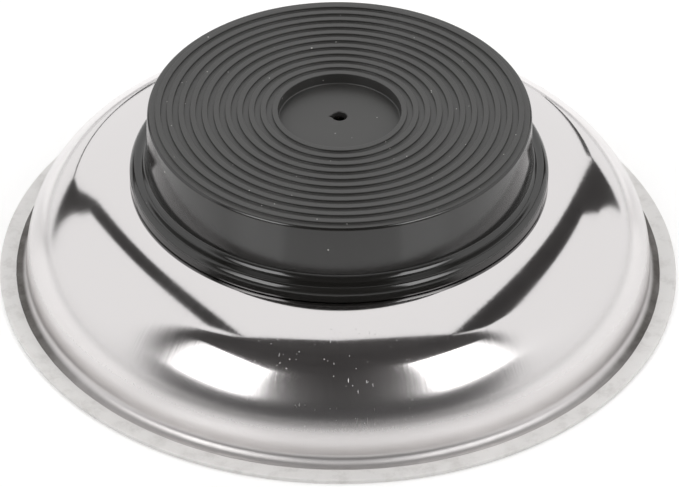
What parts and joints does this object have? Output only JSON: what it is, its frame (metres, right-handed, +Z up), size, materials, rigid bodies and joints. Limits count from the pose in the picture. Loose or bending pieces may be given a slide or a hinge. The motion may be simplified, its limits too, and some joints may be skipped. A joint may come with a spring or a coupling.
{
  "type": "magnetic parts tray",
  "caption": "Round magnetic parts tray lying mouth down: a polished pressed steel dish with a flat lip, and a black ribbed rubber boot over the magnet in its base.",
  "frame": {"origin": "centre of the rim's plane on the tray's axis; the tray lies mouth down on its lip, as it was pictured", "axes": "+Z up along the tray's axis, out through the rubber base; the dish's mouth faces -Z; X and Y are alike"},
  "size_m": [0.15, 0.15, 0.043],
  "materials": {
    "polished_steel": "mirror-polished stainless sheet with fine draw lines, satin on the lip",
    "black_rubber": "moulded, low sheen",
    "ferrite": "ground, matt",
    "plain_steel": "cold rolled",
    "zinc_plated": "bright zinc plate",
    "bush_plastic": "moulded nylon",
    "adhesive": "cured contact adhesive"
  },
  "bodies": {
    "root": {"dish": "polished_steel", "rubber_boot": "black_rubber", "ring_magnet": "ferrite", "pole_plate": "plain_steel", "centring_bush": "bush_plastic", "bond_ring": "adhesive", "centre_screw": "zinc_plated", "head_washer": "zinc_plated", "nut_washer": "zinc_plated", "lock_washer": "zinc_plated", "hex_nut": "zinc_plated"}
  },
  "joints": []
}
